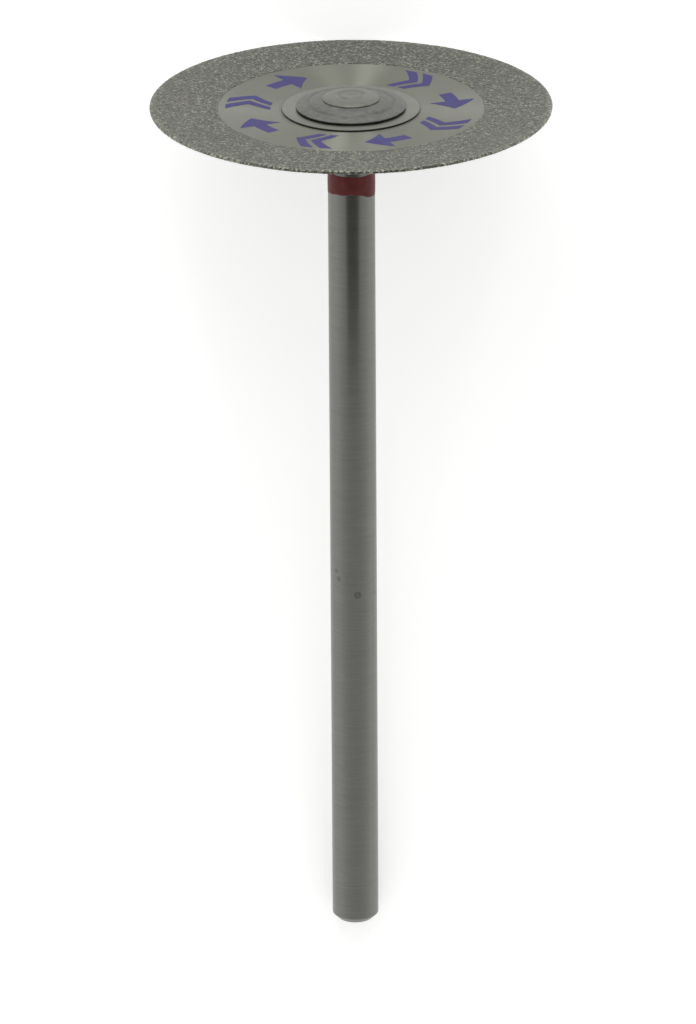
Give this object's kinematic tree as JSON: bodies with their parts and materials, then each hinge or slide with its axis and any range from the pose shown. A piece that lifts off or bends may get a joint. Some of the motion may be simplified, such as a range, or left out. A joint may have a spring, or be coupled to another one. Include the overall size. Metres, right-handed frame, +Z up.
{
  "type": "dental diamond disc",
  "caption": "Mounted dental diamond disc: a thin dished steel blade with a diamond-coated edge, riveted between flanges on a straight handpiece shank.",
  "frame": {"origin": "centre of the box in X and Y, on the table that the tool lies on", "axes": "+Z up; the tool lies on the disc's rim and the end of its shank, with the shank running towards -Y and its axis rising towards +Y"},
  "size_m": [0.02, 0.0454, 0.0196],
  "materials": {
    "mandrel_steel": "ground",
    "red_lacquer": "gloss",
    "flange_steel": "tumbled",
    "washer_steel": "satin",
    "blade_steel": "lathe brushed",
    "diamond_plating": "rough, diamond grains held in nickel"
  },
  "bodies": {
    "root": {"mandrel": "mandrel_steel", "colour_ring": "red_lacquer", "lower_flange": "flange_steel", "lower_washer": "washer_steel", "blade": "blade_steel", "diamond_layer": "diamond_plating", "upper_washer": "washer_steel", "upper_flange": "flange_steel"}
  },
  "joints": []
}
